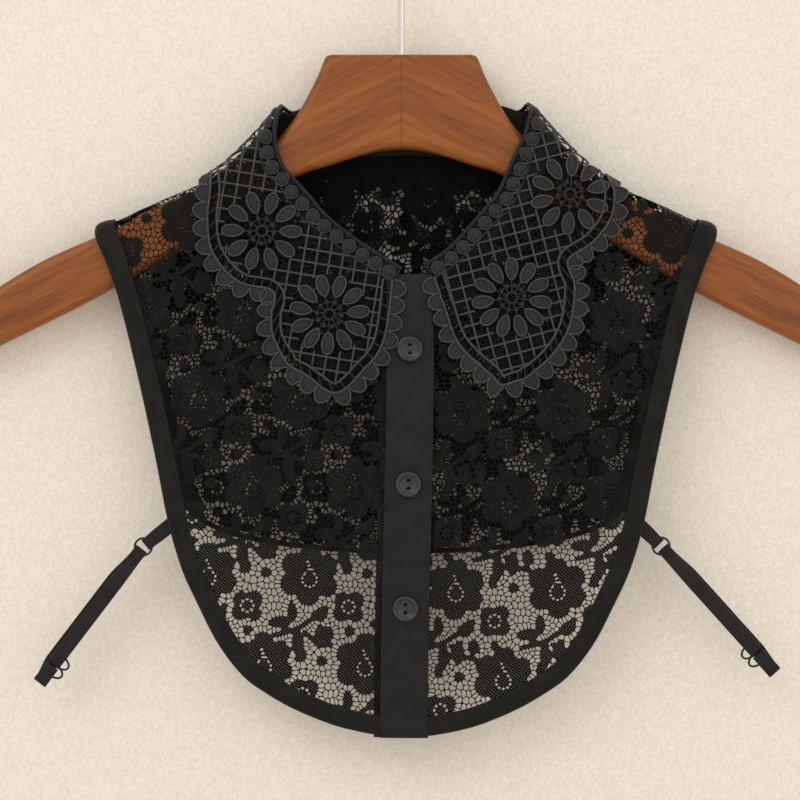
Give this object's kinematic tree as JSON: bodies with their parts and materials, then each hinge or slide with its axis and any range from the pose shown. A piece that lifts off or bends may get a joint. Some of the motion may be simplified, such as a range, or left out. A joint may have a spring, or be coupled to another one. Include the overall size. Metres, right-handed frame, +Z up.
{
  "type": "false collar on a wooden clothes hanger",
  "caption": "Buttoned lace false collar with a guipure collar and side straps, hung on a shaped wooden hanger with a wire hook.",
  "frame": {"origin": "the point inside the top of the hook's bow that bears on a rail", "axes": "+Z up along the hook's shank, +X to the right of someone who faces the front, front faces -Y"},
  "size_m": [0.4456, 0.0309, 0.4288],
  "materials": {
    "wood": "stained and clear lacquered",
    "hook_wire": "polished",
    "lace": "knitted lace",
    "tape": "woven cotton tape",
    "placket_cloth": "plain woven cotton",
    "guipure": "satin stitched embroidery",
    "button": "moulded",
    "elastic": "woven elastic",
    "strap_metal": "black nylon coated"
  },
  "bodies": {
    "root": {"hanger_wood": "wood", "hanger_hook": "hook_wire", "front_panel_left": "lace", "front_panel_right": "lace", "back_panel": "lace", "front_tape_left": "tape", "front_tape_right": "tape", "back_tape": "tape", "placket_top": "placket_cloth", "placket_under": "placket_cloth", "neck_band": "placket_cloth", "collar_left": "guipure", "collar_right": "guipure", "button_1": "button", "button_2": "button", "button_3": "button", "strap_tab_left": "elastic", "strap_ring_left": "strap_metal", "strap_elastic_left": "elastic", "strap_slider_left": "strap_metal", "strap_tab_right": "elastic", "strap_ring_right": "strap_metal", "strap_elastic_right": "elastic", "strap_slider_right": "strap_metal"}
  },
  "joints": []
}
